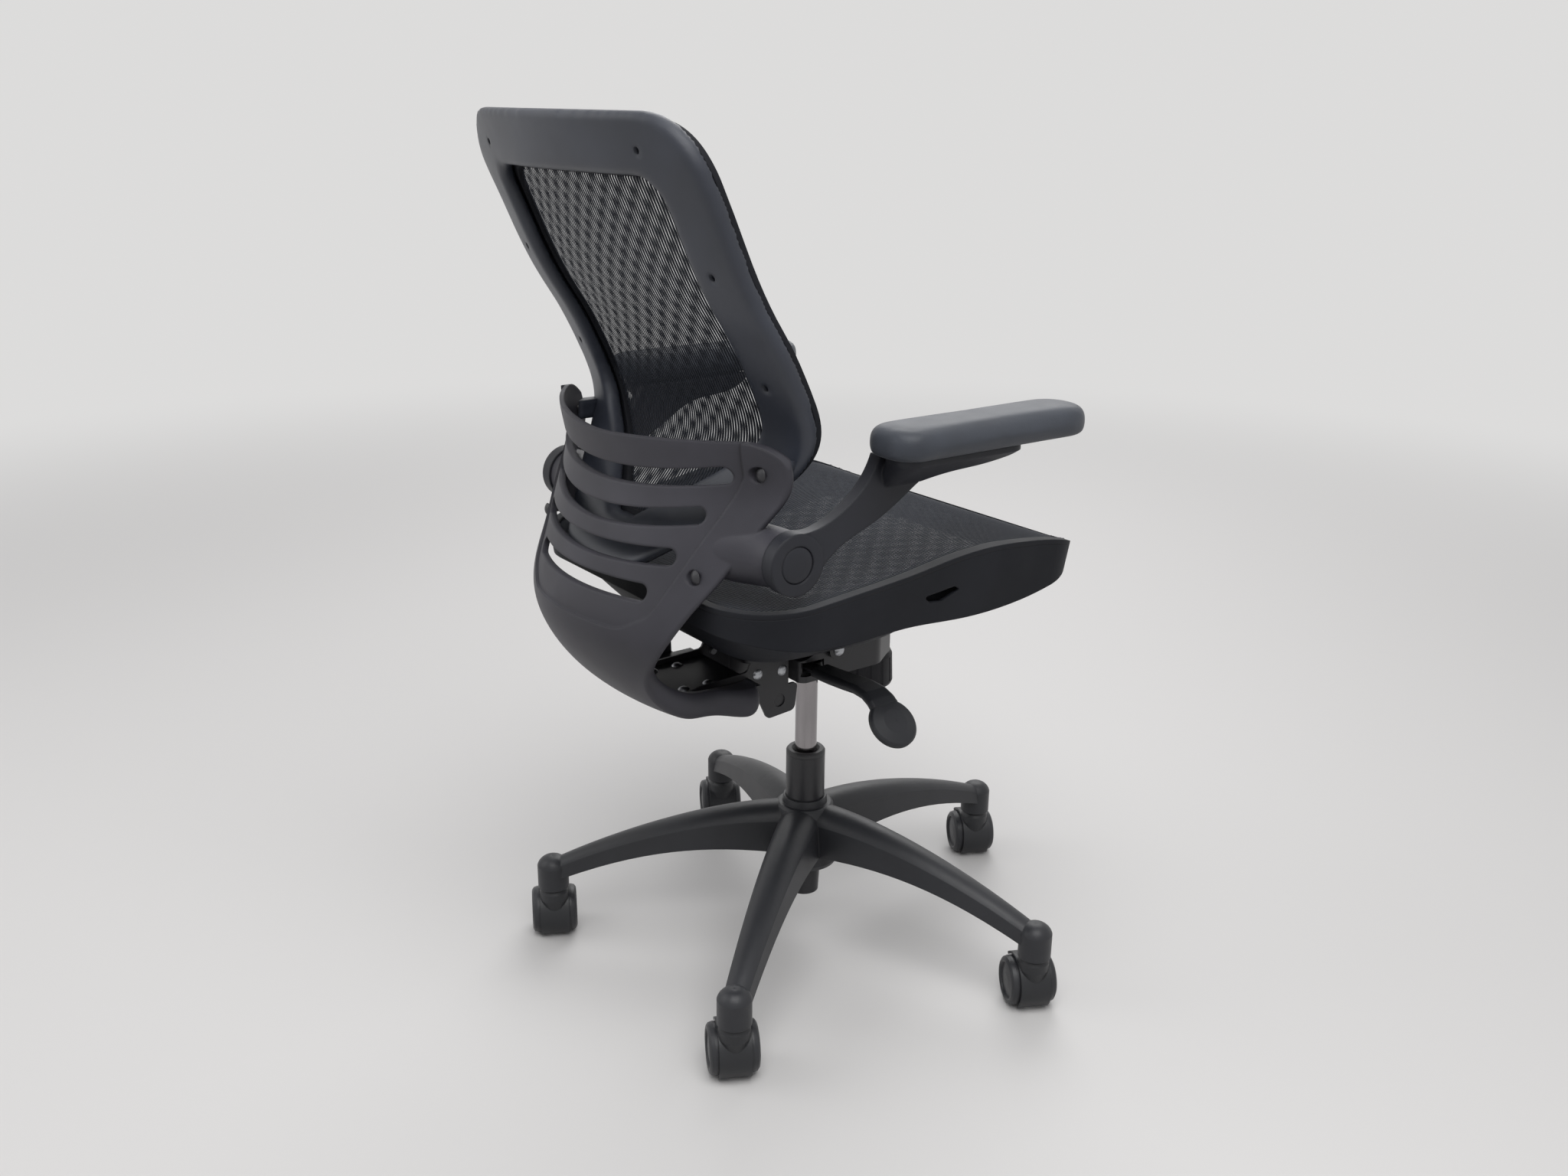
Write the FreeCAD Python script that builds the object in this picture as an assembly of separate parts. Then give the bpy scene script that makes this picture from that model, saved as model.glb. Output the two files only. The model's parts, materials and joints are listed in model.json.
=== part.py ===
import FreeCAD, Part
import math
import os

V = FreeCAD.Vector
os.makedirs("parts", exist_ok=True)

# Driving dimensions, in millimetres. +X is the sitter's left, -Y is forward, +Z is up.
# Clearances
run_gap = 0.05
seat_gap = 0.05

# Star base and casters
arm_count = 5
base_radius = 328.0
base_turn = -14.94
cap_radius = 20.0
cap_low = 73.0
cap_high = 116.0
hub_radius = 45.0
hub_low = 108.0
hub_high = 199.0
base_wall = 4.5
wheel_radius = 30.0
wheel_half = 29.0
caster_turn = -26.9
caster_trail = 16.0
hood_half = 19.0
hood_gap = 1.4
hood_wall = 3.0
stem_radius = 5.5
axle_radius = 4.0

# Gas column
tube_radius = 25.0
tube_wall = 2.0
tube_high = 258.0
tube_low = 62.0
cylinder_radius = 14.0
cylinder_low = 176.0
cylinder_high = 424.0
socket_low = 367.0
rod_radius = 5.0

# Tilt mechanism
tilt_y = 6.0
tilt_z = 421.0
housing_half = 64.0
housing_front = -110.0
housing_rear = 58.0
housing_low = 386.0
housing_high = 429.0
steel = 3.0
plate_low = 437.0
plate_high = 441.0
knob_y = -90.0
knob_radius = 40.0
knob_low = 336.0
knob_high = 381.0
bolt_radius = 5.0
washer_low = 430.0
lever_y = 40.0
lever_z = 403.0
lever_x = -38.0
lever_high = 428.7
bar_half = 9.0
bar_thick = 4.0
pin_radius = 2.5
paddle_radius = 30.0

# Bracket between the mechanism and the shell
cheek_x = 50.0
tongue_low = 402.0
tongue_half = 75.0
tongue_rear = 225.0

# Seat
seat_half = 252.0
seat_front = -234.0
seat_rear = 268.0
seat_draft = 18.0
rim_width = 34.0
rim_wall = 5.0
carrier_high = 6.0
mesh_thick = 2.0
seat_sag = 9.0

# Back
back_half = 220.0
back_reach = back_half + 8.0
back_top = 1039.0
back_sag = 32.0
back_front = -12.0
back_split = -5.0
back_behind = 12.0
opening_half = 163.0
opening_top = 985.0

# Shell and its fixings
shell_wall = 12.0
bolt_sink = 1.0
link_half = 8.0
link_high = 11.0
link_front = 1.0
link_rear = 2.0

# Arms
pivot_y = 201.0
pivot_z = 607.5
hub_disc = 33.0
arm_inner = 224.0
arm_outer = 241.0
stub_end = arm_inner - 0.5
pad_mid = 262.0
pad_half = 38.0
pad_front = -164.0
pad_rear = 114.0
pad_low = 708.0
pad_high = 740.5


def plan(z):
    return lambda u, v: V(u, v, z)


def front(y):
    return lambda u, v: V(u, y, v)


def side(x):
    return lambda u, v: V(x, u, v)


def line(a, b):
    return Part.makeLine(a, b)


def arc(a, b, c):
    return Part.Arc(a, b, c).toShape()


def curve(points):
    shape = Part.BSplineCurve()
    shape.interpolate(points)
    return shape.toShape()


def rounded(points, place):
    # Closed wire through corners given as (u, v, corner radius).
    corners = []
    count = len(points)
    for i, (u, v, r) in enumerate(points):
        p = V(u, v, 0)
        a = V(points[i - 1][0], points[i - 1][1], 0) - p
        b = V(points[(i + 1) % count][0], points[(i + 1) % count][1], 0) - p
        a.normalize()
        b.normalize()
        if r <= 0:
            corners.append((p, None, p))
            continue
        half = math.acos(max(-1.0, min(1.0, a.dot(b)))) / 2
        reach = r / math.tan(half)
        way = a + b
        way.normalize()
        mid = p + way * (r / math.sin(half) - r)
        corners.append((p + a * reach, mid, p + b * reach))
    edges = []
    for i, (first, mid, last) in enumerate(corners):
        if mid is not None:
            edges.append(arc(place(first.x, first.y), place(mid.x, mid.y), place(last.x, last.y)))
        after = corners[(i + 1) % count][0]
        if (after - last).Length > 1e-6:
            edges.append(line(place(last.x, last.y), place(after.x, after.y)))
    return Part.Wire(edges)


def polygon(points, place):
    corners = [place(u, v) for u, v in points]
    return Part.makePolygon(corners + corners[:1])


def prism(wire, way):
    return Part.Face(wire).extrude(way)


def loft(wires):
    return Part.makeLoft(wires, True, False)


def turned(points):
    # Solid turned about Z from (radius, height) corners.
    face = Part.Face(polygon(points, front(0)))
    return face.revolve(V(0, 0, 0), V(0, 0, 1), 360)


def rod(radius, a, b):
    way = b - a
    return Part.makeCylinder(radius, way.Length, a, way)


def join(shapes):
    result = shapes[0]
    for shape in shapes[1:]:
        result = result.fuse(shape)
    return result.removeSplitter()


def group(shapes):
    return Part.makeCompound(shapes)


def spun(shape, degrees, at=V(0, 0, 0), axis=V(0, 0, 1)):
    copy = shape.copy()
    copy.rotate(at, axis, degrees)
    return copy


def moved(shape, way):
    copy = shape.copy()
    copy.translate(way)
    return copy


def mirrored(shape):
    return shape.mirror(V(0, 0, 0), V(1, 0, 0))


def between(table, value):
    # Straight reading between (position, value) pairs in rising order.
    for (a, first), (b, last) in zip(table, table[1:]):
        if value <= b:
            return first + (last - first) * (value - a) / (b - a)
    return table[-1][1]


def save(shape, name):
    solids = shape.Solids
    shape = solids[0] if len(solids) == 1 else Part.makeCompound(solids)
    shape.exportStep("parts/" + name + ".step")
    print(name, len(solids), "solid(s)", "valid" if shape.isValid() else "NOT VALID")


# Star base
# Each station of an arm: distance from the column, half width, underside, top
arm_stations = [(20, 31, 128, 190), (95, 27, 134, 184), (180, 23, 129, 165), (262, 19, 110, 138),
                (base_radius, 16, 86, 110)]


def arm_section(r, half, low, high):
    shoulder = high - 0.30 * (high - low)
    a = V(r, -half, low)
    b = V(r, -half * 0.86, shoulder)
    c = V(r, 0, high)
    d = V(r, half * 0.86, shoulder)
    e = V(r, half, low)
    return Part.Wire([line(a, b), arc(b, c, d), line(d, e), line(e, a)])


def arm_hollow(r, half, low, high):
    wide = half - base_wall
    shoulder = high - base_wall - 0.35 * (high - low)
    top = high - base_wall - 1
    corners = [(-wide, low - 6), (-wide * 0.86, shoulder), (-wide * 0.4, top), (wide * 0.4, top), (wide * 0.86, shoulder),
               (wide, low - 6)]
    return polygon(corners, side(r))


def star_arm():
    outer = loft([arm_section(*station) for station in arm_stations])
    hollow = Part.makeLoft([arm_hollow(*station) for station in arm_stations], True, True)
    hollow = hollow.common(Part.makeBox(base_radius - cap_radius - hub_radius, 90, 200, V(hub_radius - 1, -45, 60)))
    ribs = []
    for r in (95, 150, 205, 260):
        ribs.append(Part.makeBox(3, 60, 200, V(r, -30, 60)))
    return outer.cut(hollow.cut(group(ribs)))


def star_cap():
    dome = cap_high - 12.0
    profile = Part.Wire([
        line(V(0, 0, cap_low), V(cap_radius, 0, cap_low)),
        line(V(cap_radius, 0, cap_low), V(cap_radius, 0, dome)),
        arc(V(cap_radius, 0, dome), V(cap_radius * 0.72, 0, cap_high - 3.6), V(0, 0, cap_high)),
        line(V(0, 0, cap_high), V(0, 0, cap_low))])
    cap = Part.Face(profile).revolve(V(0, 0, 0), V(0, 0, 1), 360)
    return moved(cap, V(base_radius, 0, 0))


def column_profile(offset):
    r = tube_radius + offset
    return [(r, tube_high + 20), (r, hub_high - 6), (r - 3.4, hub_low - 2), (r - 5.8, tube_low - 1)]


def base_star():
    hub = turned([(0, hub_low), (hub_radius - 3, hub_low), (hub_radius, hub_low + 6), (hub_radius - 1, hub_low + 52),
                  (hub_radius - 8, hub_high - 12), (hub_radius - 11, hub_high - 9), (hub_radius - 16, hub_high - 9),
                  (hub_radius - 17, hub_high), (0, hub_high)])
    shapes = [hub]
    arm = star_arm()
    cap = star_cap()
    socket = rod(7.5 + seat_gap, V(base_radius, 0, cap_low - 1), V(base_radius, 0, cap_low + 33))
    sockets = []
    for i in range(arm_count):
        turn = base_turn + i * 360.0 / arm_count
        shapes.append(spun(arm, turn))
        shapes.append(spun(cap, turn))
        sockets.append(spun(socket, turn))
    bore = turned([(0, tube_high + 20)] + column_profile(seat_gap) + [(0, tube_low - 1)])
    return join(shapes).cut(group(sockets + [bore]))


def stem_sleeves():
    sleeve = rod(7.5, V(base_radius, 0, cap_low + 0.5), V(base_radius, 0, cap_low + 32.5))
    sleeve = sleeve.cut(rod(stem_radius + run_gap, V(base_radius, 0, 0), V(base_radius, 0, 200)))
    return group([spun(sleeve, base_turn + i * 360.0 / arm_count) for i in range(arm_count)])


# Casters, built with the stem on the origin and the axle behind it along +X
def caster_hood():
    at = V(caster_trail, 0, wheel_radius)
    inner = wheel_radius + hood_gap
    outer = inner + hood_wall
    drum = rod(outer, at - V(0, hood_half, 0), at + V(0, hood_half, 0))
    drum = drum.cut(rod(inner, at - V(0, hood_half + 1, 0), at + V(0, hood_half + 1, 0)))
    web = rod(inner + 1, at - V(0, 3.5, 0), at + V(0, 3.5, 0))
    shell = drum.fuse(web)
    keep = polygon([(at.x, at.z - 8), (at.x - 70, at.z - 62), (at.x - 70, at.z + 70), (at.x + 46, at.z + 70),
                    (at.x + 9, at.z - 8)], front(-60))
    shell = shell.common(prism(keep, V(0, 120, 0)))
    neck = turned([(0, 40), (15, 40), (18.5, 56), (18.5, 66), (16, 70.5), (0, 70.5)])
    clear = rod(inner, at - V(0, 40, 0), at + V(0, 40, 0))
    middle = Part.makeBox(80, 7, 100, V(-40, -3.5, 0))
    neck = neck.cut(clear).fuse(neck.common(clear).common(middle))
    boss = rod(9, at - V(0, 3.5, 0), at + V(0, 3.5, 0))
    hood = join([shell, neck, boss])
    hood = hood.cut(rod(axle_radius + seat_gap, at - V(0, 40, 0), at + V(0, 40, 0)))
    stem = rod(stem_radius + seat_gap, V(0, 0, 63), V(0, 0, 90))
    flange = rod(10 + seat_gap, V(0, 0, 69), V(0, 0, 90))
    return hood.cut(group([stem, flange]))


def caster_pins():
    stem = join([rod(stem_radius, V(0, 0, 63.2), V(0, 0, cap_low + 30)), rod(10, V(0, 0, 69.2), V(0, 0, cap_low - 0.05))])
    at = V(caster_trail, 0, wheel_radius)
    axle = rod(axle_radius, at - V(0, 23.5, 0), at + V(0, 23.5, 0))
    return group([stem, axle])


def caster_wheel():
    near = 4.5
    far = wheel_half
    r = wheel_radius
    bore = axle_radius + run_gap
    profile = [(bore, near), (9, near), (9, near + 1.5), (r - 3.5, near + 1.5), (r, near + 5), (r, far - 7),
               (r - 1.2, far - 2.6), (r - 4, far - 0.5), (r - 6, far), (r - 8, far - 1), (r - 9, far - 3.2),
               (8, far - 1.2), (0, far - 1), (0, far - 5), (bore, far - 5)]
    wheel = spun(turned(profile), -90, V(0, 0, 0), V(1, 0, 0))
    return moved(wheel, V(caster_trail, 0, r))


def save_casters():
    hood = caster_hood()
    pins = caster_pins()
    wheel = caster_wheel()
    other = wheel.mirror(V(0, 0, 0), V(0, 1, 0))
    for i in range(arm_count):
        turn = math.radians(base_turn + i * 360.0 / arm_count)
        place = V(base_radius * math.cos(turn), base_radius * math.sin(turn), 0)
        label = "caster_%d_" % (i + 1)
        save(moved(spun(hood, caster_turn), place), label + "hood")
        save(moved(spun(pins, caster_turn), place), label + "pins")
        save(moved(spun(wheel, caster_turn), place), label + "wheel_a")
        save(moved(spun(other, caster_turn), place), label + "wheel_b")


# Gas column
def column_tube():
    outside = [(tube_radius, tube_high)] + column_profile(0)[1:3] + [(tube_radius - 5.7, tube_low)]
    inside = [(tube_radius - 7.7, tube_low + 4), (tube_radius - 7.6, tube_low + 8), (tube_radius - 5.4, hub_low - 2),
              (tube_radius - tube_wall, hub_high - 6), (tube_radius - tube_wall, tube_high)]
    floor = turned([(0, tube_low + 4), (tube_radius - 6, tube_low + 4), (tube_radius - 6, tube_low + 8),
                    (0, tube_low + 8)])
    wall = turned(outside + [(tube_radius - 7.7, tube_low)] + inside)
    return join([wall, floor]).cut(rod(4 + run_gap, V(0, 0, tube_low), V(0, 0, tube_low + 20)))


def column_bushing():
    inner = cylinder_radius + run_gap
    r = tube_radius - tube_wall - seat_gap
    return turned([(inner, hub_high - 4), (r, hub_high - 4), (r, tube_high + 0.1), (tube_radius, tube_high + 0.1),
                   (tube_radius, tube_high + 4), (tube_radius - 2, tube_high + 6.5), (inner + 4, tube_high + 6.5),
                   (inner, tube_high + 3)])


def thrust_bearing():
    low = tube_low + 8
    washer = turned([(5.2, low), (13, low), (13, low + 1.5), (5.2, low + 1.5)])
    cage = turned([(6.5, low + 2), (7.5, low + 1.55), (11, low + 1.55), (12, low + 2), (12, low + 4.5), (11, low + 5),
                   (7.5, low + 5), (6.5, low + 4.5)])
    return group([washer, cage])


def gas_rod():
    low = tube_low + 8
    shaft = turned([(0, tube_low + 1), (4, tube_low + 1), (4, low + 5.1), (13, low + 5.1), (13, low + 6.6),
                    (rod_radius, low + 6.6), (rod_radius, 196), (11.9, 196), (11.9, 204), (0, 204)])
    return shaft


def retaining_clip():
    return turned([(4 + seat_gap, tube_low + 1.6), (8.5, tube_low + 1.6), (8.5, tube_low + 3.1),
                   (4 + seat_gap, tube_low + 3.1)])


def gas_cylinder():
    r = cylinder_radius
    outer = turned([(0, cylinder_low), (r - 1, cylinder_low), (r, cylinder_low + 1), (r, socket_low),
                    (r - 1.0, cylinder_high), (0, cylinder_high)])
    bore = turned([(0, cylinder_low + 12), (12, cylinder_low + 12), (12, cylinder_high - 24), (0, cylinder_high - 24)])
    gland = rod(rod_radius + run_gap, V(0, 0, cylinder_low - 1), V(0, 0, cylinder_low + 14))
    valve = rod(3 + run_gap, V(0, 0, cylinder_high - 26), V(0, 0, cylinder_high + 1))
    return outer.cut(group([bore, gland, valve]))


def valve_button():
    return turned([(0, cylinder_high - 20), (3, cylinder_high - 20), (3, cylinder_high + 3.5), (2.2, cylinder_high + 4.5),
                   (0, cylinder_high + 4.5)])


# Tilt mechanism
def taper_socket():
    r = cylinder_radius + seat_gap
    top = cylinder_high - 6
    slip = (top - socket_low) / (cylinder_high - socket_low)
    return turned([(r, socket_low), (r + 4, socket_low), (r + 6, socket_low + 8), (r + 6, top), (r - slip, top)])


def housing_plan(inset):
    half = housing_half - inset
    low = housing_front + inset
    high = housing_rear - inset
    return [(-32 + inset, low, 10), (32 - inset, low, 10), (half, low + 46, 22), (half, high, 10), (-half, high, 10),
            (-half, low + 46, 22)]


def mech_housing():
    # Pressed tray, lower behind the pivot so that the tilting plate clears it.
    box = prism(rounded(housing_plan(0), plan(housing_low)), V(0, 0, housing_high - housing_low))
    inner = rounded(housing_plan(steel), plan(housing_low + steel))
    box = box.cut(prism(inner, V(0, 0, 60)))
    slope = polygon([(tilt_y + 9, housing_high + 1), (housing_rear + 5, housing_high - 18), (housing_rear + 5, 500),
                     (tilt_y + 9, 500)], side(-90))
    socket = rod(cylinder_radius + 6 + 2 * seat_gap, V(0, 0, housing_low - 5), V(0, 0, housing_low + 10))
    bolt = rod(bolt_radius + run_gap, V(0, knob_y, housing_low - 5), V(0, knob_y, housing_low + 10))
    pins = rod(6 + seat_gap, V(-90, tilt_y, tilt_z), V(90, tilt_y, tilt_z))
    window = Part.makeBox(12, 32, 18, V(-housing_half - 6, lever_y - 16, lever_z - 9))
    return box.cut(group([prism(slope, V(180, 0, 0)), socket, bolt, pins, window]))


def pivot_bushes():
    shapes = []
    for s in (-1, 1):
        a = V(s * (housing_half - 14), tilt_y, tilt_z)
        b = V(s * (housing_half + 3.2), tilt_y, tilt_z)
        ring = rod(6, a, b).cut(rod(4 + run_gap, a - V(s * 5, 0, 0), b + V(s * 5, 0, 0)))
        shapes.append(ring)
    return group(shapes)


def pivot_bolts():
    shapes = []
    for s in (-1, 1):
        inner = V(s * (housing_half - 14), tilt_y, tilt_z)
        outer = V(s * (housing_half + 7), tilt_y, tilt_z)
        shank = rod(4, inner, outer)
        head = Part.makeSphere(9, V(s * (housing_half + 2.2), tilt_y, tilt_z))
        head = head.common(rod(7.5, outer, outer + V(s * 8, 0, 0)))
        shapes.append(join([shank, head]))
    return group(shapes)


def tilt_spring():
    # Plain sleeve in the room of the coil, from the stirrup's floor up to the bolt's washer.
    low = housing_low + 2 * steel + 0.5
    high = washer_low - seat_gap
    outer = rod(14, V(0, knob_y, low), V(0, knob_y, high))
    return outer.cut(rod(10.5, V(0, knob_y, low - 1), V(0, knob_y, high + 1)))


def tension_bolt():
    shank = rod(bolt_radius, V(0, knob_y, knob_low + 14), V(0, knob_y, washer_low + 5))
    washer = rod(15, V(0, knob_y, washer_low), V(0, knob_y, washer_low + 3))
    return join([shank, washer])


def tension_knob():
    low = knob_low
    high = knob_high
    r = knob_radius
    body = turned([(0, low + 2), (r - 6, low), (r - 1.5, low + 1.5), (r, low + 5), (r - 1.5, high - 5),
                   (r - 4, high), (0, high)])
    flutes = []
    for i in range(14):
        turn = math.radians(360.0 * i / 14)
        way = V(math.cos(turn), math.sin(turn), 0)
        flutes.append(rod(4, way * (r + 2.4) + V(0, 0, low + 7), way * (r + 1.2) + V(0, 0, high - 6)))
    hole = rod(bolt_radius + seat_gap, V(0, 0, low + 13.9), V(0, 0, high + 1))
    return moved(body.cut(group(flutes + [hole])), V(0, knob_y, 0))


def lever_arm():
    # Flat steel finger that presses the valve, its hinge knuckle, and the bar that carries the handle.
    half = 8
    high = lever_high - lever_z
    finger = Part.makeBox(44, 2 * half, 3, V(lever_x + 8, -half, lever_high))
    riser = Part.makeBox(3, 2 * half, high + 3, V(lever_x + 8, -half, lever_z))
    foot = Part.makeBox(14, lever_y + bar_half + half, bar_thick, V(lever_x - 3, -half, lever_z - bar_thick / 2))
    bar = Part.makeBox(102, 2 * bar_half, bar_thick, V(lever_x - 104, lever_y - bar_half, lever_z - bar_thick / 2))
    knuckle = rod(4.5, V(lever_x, -half, lever_z), V(lever_x, lever_y + bar_half, lever_z))
    shapes = join([finger, riser, foot, bar, knuckle])
    return shapes.cut(rod(pin_radius + run_gap, V(lever_x, -40, lever_z), V(lever_x, 90, lever_z)))


def lever_paddle():
    # Moulded handle: a level grip that turns down into a round paddle.
    stations = [(-78, lever_y, lever_z + 1, 15, 6.5, 0), (-106, lever_y - 2, lever_z + 1.5, 16, 6.5, 1),
                (-130, lever_y - 5, lever_z + 2.2, 17, 6.5, 5), (-150, lever_y - 7, lever_z + 2.8, 17, 6.2, 13),
                (-167, lever_y - 8, lever_z + 1, 18, 5.8, 26), (-179, lever_y - 8, lever_z - 3.5, 19, 5.6, 37),
                (-186, lever_y - 8, lever_z - 8.5, 19.5, 5.5, 44)]
    wires = []
    for x, y, z, half, thick, lean in stations:
        c = math.cos(math.radians(lean))
        s = math.sin(math.radians(lean))
        up = V(-s, 0, c) * thick
        mid = V(x, y, z)
        out = V(0, half, 0)
        edge = V(0, half - 5, 0)
        wires.append(Part.Wire([
            line(mid - edge + up, mid + edge + up), arc(mid + edge + up, mid + out, mid + edge - up),
            line(mid + edge - up, mid - edge - up), arc(mid - edge - up, mid - out, mid - edge + up)]))
    grip = Part.makeLoft(wires, True, True)
    x, y, z, half, thick, lean = stations[-1]
    way = math.radians(lean)
    middle = V(x, y, z) + V(-math.cos(way), 0, -math.sin(way)) * (paddle_radius - 7)
    r = paddle_radius
    lens = turned([(0, -thick), (r - 3, -thick), (r, -thick + 2.5), (r, 1.5), (r - 2.5, 4), (r * 0.5, 6.5), (0, 7)])
    paddle = moved(spun(lens, -lean, V(0, 0, 0), V(0, 1, 0)), middle)
    slot = Part.makeBox(68, 2 * bar_half + 2 * seat_gap, bar_thick + 2 * seat_gap,
                        V(lever_x - 104 - seat_gap, lever_y - bar_half - seat_gap, lever_z - bar_thick / 2 - seat_gap))
    return join([grip, paddle]).cut(slot)


def lock_slider():
    # Sliding tongue whose two ears and riveted pin carry the lever; pulled out, it frees the tilt.
    low = housing_low + steel + 0.3
    far = lever_y + bar_half + 0.5
    shapes = [Part.makeBox(14, far + 15, 3, V(lever_x - 7, -11.5, low))]
    for y in (-11.5, far):
        ear = rounded([(lever_x - 6, low, 0), (lever_x + 6, low, 0), (lever_x + 6, lever_z + 6, 4),
                       (lever_x - 6, lever_z + 6, 4)], front(y))
        shapes.append(prism(ear, V(0, 3, 0)))
    shapes.append(rod(pin_radius, V(lever_x, -12.5, lever_z), V(lever_x, far + 4, lever_z)))
    return join(shapes)


def seat_plate():
    outline = [(-34, housing_front - 4, 12), (34, housing_front - 4, 12), (60, -50, 20), (82, 30, 20), (82, 150, 14),
               (-82, 150, 14), (-82, 30, 20), (-60, -50, 20)]
    plate = prism(rounded(outline, plan(plate_low)), V(0, 0, plate_high - plate_low))
    shapes = [plate]
    inner = housing_half + 3.4
    ear = [(tilt_y - 24, plate_high, 0), (tilt_y - 20, tilt_z - 10, 9), (tilt_y + 12, tilt_z - 10, 9),
           (tilt_y + 18, plate_high, 0)]
    for s in (-1, 1):
        flap = prism(rounded(ear, side(s * inner)), V(s * steel, 0, 0))
        shapes.append(flap.cut(rod(4 + seat_gap, V(s * 50, tilt_y, tilt_z), V(s * 90, tilt_y, tilt_z))))
    shapes.append(stirrup())
    bolts = [rod(4 + seat_gap, V(x, y, 420), V(x, y, 460)) for x, y in seat_bolt_places()]
    return join(shapes).cut(group(bolts))


def stirrup():
    # Yoke under the plate's tongue: it lifts the spring's foot when the seat leans back.
    floor = housing_low + steel + 0.45
    outer = Part.makeBox(58, 25.5, plate_low + 1 - floor, V(-29, knob_y - 10, floor))
    inner = Part.makeBox(52, 40, plate_low + 5 - floor, V(-26, knob_y - 15, floor + steel))
    slot = Part.makeBox(13, 18, 20, V(-6.5, knob_y - 6.5, floor - 10))
    return outer.cut(group([inner, slot]))


def seat_bolt_places():
    return [(-62, 74), (62, 74), (-62, 134), (62, 134)]


def bracket_bolt_places():
    return [(-34, 172), (34, 172), (-34, 206), (34, 206)]


def side_bolt_places():
    return [(76, tongue_low + 2), (112, tongue_low + 5)]


def back_bracket():
    # Two pressed cheeks under the seat plate, a web between them, and a flat tongue that lies in the shell's channel.
    top = tongue_low + steel
    shape = [(67, plate_low, 0), (67, 384.5, 1.5), (53, 384.5, 6), (57, 349, 8), (98, 346, 8), (110, 372, 6),
             (121, tongue_low - 6, 6), (128, tongue_low, 2), (tongue_rear, tongue_low, 0), (tongue_rear, top, 0),
             (190, top + 6, 6), (128, top + 8, 6), (117, plate_low, 0)]
    plates = []
    for s in (-1, 1):
        cheek = prism(rounded(shape, side(s * cheek_x)), V(-s * steel, 0, 0))
        dimple = rod(8, V(s * (cheek_x - steel / 2), 80, 366), V(s * (cheek_x + 5), 80, 366))
        plates.append(cheek.cut(dimple))
    web = Part.makeBox(2 * cheek_x - 2, steel, plate_low - 352, V(1 - cheek_x, 84, 352))
    tongue = Part.makeBox(2 * tongue_half, tongue_rear - 126, steel, V(-tongue_half, 126, tongue_low))
    bolts = [rod(4 + seat_gap, V(x, y, 380), V(x, y, 420)) for x, y in bracket_bolt_places()]
    for y, z in side_bolt_places():
        bolts.append(rod(4 + seat_gap, V(-90, y, z), V(90, y, z)))
    return join(plates + [web, tongue]).cut(group(bolts))


def dome_bolt(place, way, radius, length, head):
    shank = rod(radius, place - way * length, place + way * 0.2)
    ball = Part.makeSphere(head * 1.25, place - way * head * 0.75)
    cap = ball.common(rod(head, place, place + way * head))
    return join([shank, cap])


def bracket_bolts():
    shapes = []
    for s in (-1, 1):
        for y, z in side_bolt_places():
            shapes.append(dome_bolt(V(s * cheek_x, y, z), V(s, 0, 0), 4, 7, 7))
    for x, y in bracket_bolt_places():
        shapes.append(dome_bolt(V(x, y, tongue_low + steel), V(0, 0, 1), 4, 8, 7))
    return group(shapes)


# Seat
seat_top_line = [(-242, 536), (-226, 552), (-205, 564), (-171, 574), (-119, 581), (-62, 584), (-7, 580), (46, 572),
                 (114, 565), (178, 559), (240, 555), (300, 556)]
seat_low_line = [(-242, 529), (-205, 526), (-188, 521), (-154, 512), (-109, 505), (-29, 503), (47, 508), (120, 506),
                 (200, 512), (260, 524), (300, 532)]


def seat_slab(top_drop, low_drop):
    top = curve([V(-300, y, z - top_drop) for y, z in seat_top_line])
    low = curve([V(-300, y, z - low_drop) for y, z in seat_low_line])
    ends = [line(low.Vertexes[0].Point, top.Vertexes[0].Point), line(top.Vertexes[-1].Point, low.Vertexes[-1].Point)]
    return prism(Part.Wire([ends[0], top, ends[1], low]), V(600, 0, 0))


def seat_plan(inset):
    half = seat_half - inset
    low = seat_front + inset
    high = seat_rear - inset
    nose = max(62 - inset, 12)
    tail = max(96 - inset, 20)
    return [(-half, low, nose), (half, low, nose), (half, high, tail), (-half, high, tail)]


def seat_block(inset):
    low = rounded(seat_plan(inset + seat_draft), plan(480))
    high = rounded(seat_plan(inset), plan(600))
    return Part.makeLoft([low, high], True, True)


def seat_hole(inset):
    return prism(rounded(seat_plan(inset), plan(400)), V(0, 0, 300))


def pan_section(y, half, top, flat, low, drop):
    lift = -drop
    outer = [(-half, top + lift), (-(half + flat) / 2 - 12, (top * 0.6 + low * 0.4) + lift - 8), (-flat, low + lift),
             (0, low + lift), (flat, low + lift), ((half + flat) / 2 + 12, (top * 0.6 + low * 0.4) + lift - 8),
             (half, top + lift)]
    return curve([V(u, y, v) for u, v in outer])


pan_stations = [(2, 232, 524, 118, 452), (70, 234, 520, 112, 447), (140, 234, 518, 106, 448), (200, 226, 522, 96, 474),
                (224, 213, 530, 93, 503), (238, 203, 537, 92, 521)]


def seat_pan():
    wires = []
    for y, half, top, flat, low in pan_stations:
        outer = pan_section(y, half, top, flat, low, 0)
        inner = pan_section(y, half, top, flat, low, -6)
        a = line(outer.Vertexes[0].Point, inner.Vertexes[0].Point)
        b = line(outer.Vertexes[-1].Point, inner.Vertexes[-1].Point)
        wires.append(Part.Wire([outer, b, inner, a]))
    pan = loft(wires)
    boss = []
    for x, y in seat_bolt_places():
        boss.append(rod(11, V(x, y, plate_high), V(x, y, 455)))
    return join([pan] + boss)


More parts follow.
